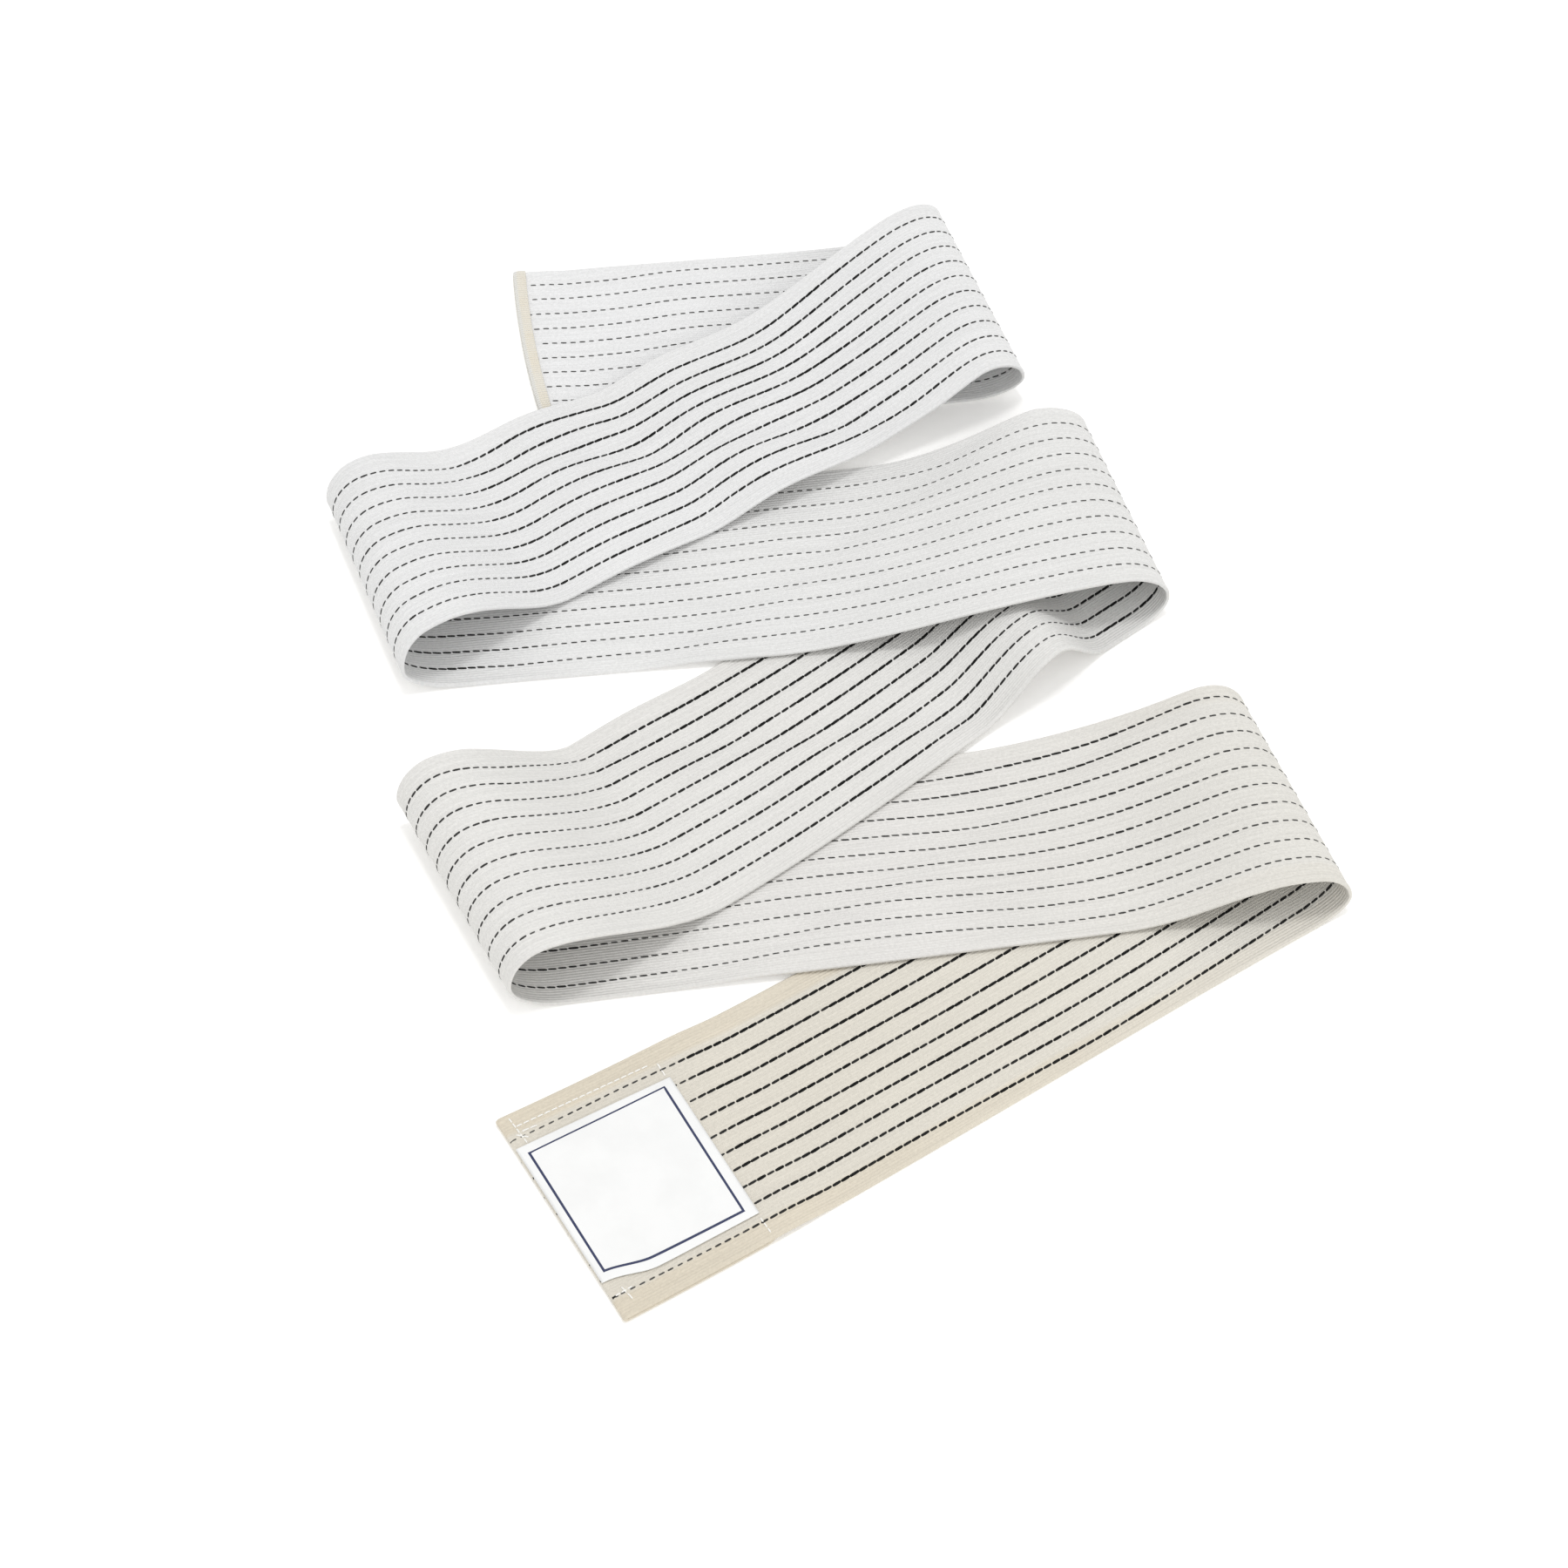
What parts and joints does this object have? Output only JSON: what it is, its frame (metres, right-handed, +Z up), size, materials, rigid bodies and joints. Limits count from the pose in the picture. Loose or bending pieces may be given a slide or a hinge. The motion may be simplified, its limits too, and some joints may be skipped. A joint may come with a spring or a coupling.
{
  "type": "breast compression band",
  "caption": "Long woven elastic compression band with dashed lengthwise lines, lying in loose zigzag folds, with a plain sewn label at its hemmed end and a bound tail.",
  "frame": {"origin": "middle of the folded band's outline, on the surface that it lies on", "axes": "+X along the passes towards the folds opposite the label, +Y along the fold lines from the label end to the tail, +Z up"},
  "size_m": [0.353, 0.5242, 0.0342],
  "materials": {
    "elastic_band": "matte woven elastic",
    "label": "smooth satin",
    "tail_binding": "matte overlocked thread"
  },
  "bodies": {
    "root": {"elastic_band": "elastic_band", "label": "label", "tail_binding": "tail_binding"}
  },
  "joints": []
}
